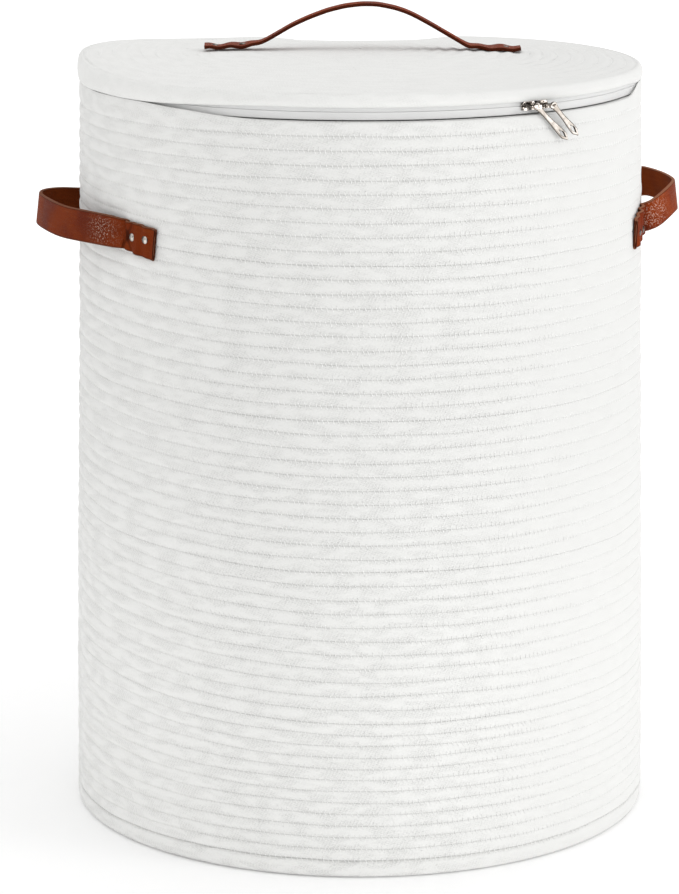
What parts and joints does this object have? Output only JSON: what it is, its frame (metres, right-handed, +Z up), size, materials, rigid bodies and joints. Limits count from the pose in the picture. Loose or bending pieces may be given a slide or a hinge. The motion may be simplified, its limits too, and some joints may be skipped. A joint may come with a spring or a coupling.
{
  "type": "laundry hamper with lid",
  "caption": "Round rope laundry hamper with a zipped, hinged lid, riveted leather side handles and a lid handle.",
  "frame": {"origin": "centre of the underside of the coiled base, on the floor", "axes": "+Z up, front faces -Y, the lid's cloth hinge is at the back (+Y) and its fold line runs along X"},
  "size_m": [0.449, 0.408, 0.5676],
  "materials": {
    "rope": "braided cotton rope",
    "zip_cloth": "woven tape",
    "zip_chain": "nylon coil",
    "leather": "pebbled tan leather",
    "nickel": "polished nickel"
  },
  "bodies": {
    "basket": {"rope_base": "rope", "rope_wall": "rope", "zip_tape_lower": "zip_cloth", "zip_chain_lower": "zip_chain", "zip_stops_lower": "nickel", "hinge_strip_lower": "zip_cloth", "side_handle_left": "leather", "rivets_left": "nickel", "washers_left": "nickel", "side_handle_right": "leather", "rivets_right": "nickel", "washers_right": "nickel"},
    "lid": {"lid_coil": "rope", "zip_tape_upper": "zip_cloth", "zip_chain_upper": "zip_chain", "zip_stops_upper": "nickel", "hinge_strip_upper": "zip_cloth", "lid_handle": "leather", "lid_rivets": "nickel", "lid_washers": "nickel"},
    "slider_left": {"slider_left_body": "nickel", "slider_left_bridge": "nickel"},
    "pull_left": {"pull_left": "nickel"},
    "slider_right": {"slider_right_body": "nickel", "slider_right_bridge": "nickel"},
    "pull_right": {"pull_right": "nickel"}
  },
  "joints": [
    {"name": "lid_hinge", "type": "hinge", "parent": "basket", "child": "lid", "pos_m": [0, 0.198, 0.5178], "axis": [-1, 0, 0], "range_deg": [0, 180]},
    {"name": "slider_left_travel", "type": "hinge", "parent": "basket", "child": "slider_left", "pos_m": [0, 0, 0.5178], "axis": [0, 0, 1], "range_deg": [-191, 0]},
    {"name": "slider_right_travel", "type": "hinge", "parent": "basket", "child": "slider_right", "pos_m": [0, 0, 0.5178], "axis": [0, 0, 1], "range_deg": [0, 118]},
    {"name": "pull_left_swing", "type": "hinge", "parent": "slider_left", "child": "pull_left", "pos_m": [0.11545, -0.16089, 0.5178], "axis": [0.5698, -0.8218, 0], "range_deg": [-95, 0]},
    {"name": "pull_right_swing", "type": "hinge", "parent": "slider_right", "child": "pull_right", "pos_m": [0.12459, -0.15392, 0.5178], "axis": [0.6165, -0.7873, 0], "range_deg": [-95, 38]}
  ]
}
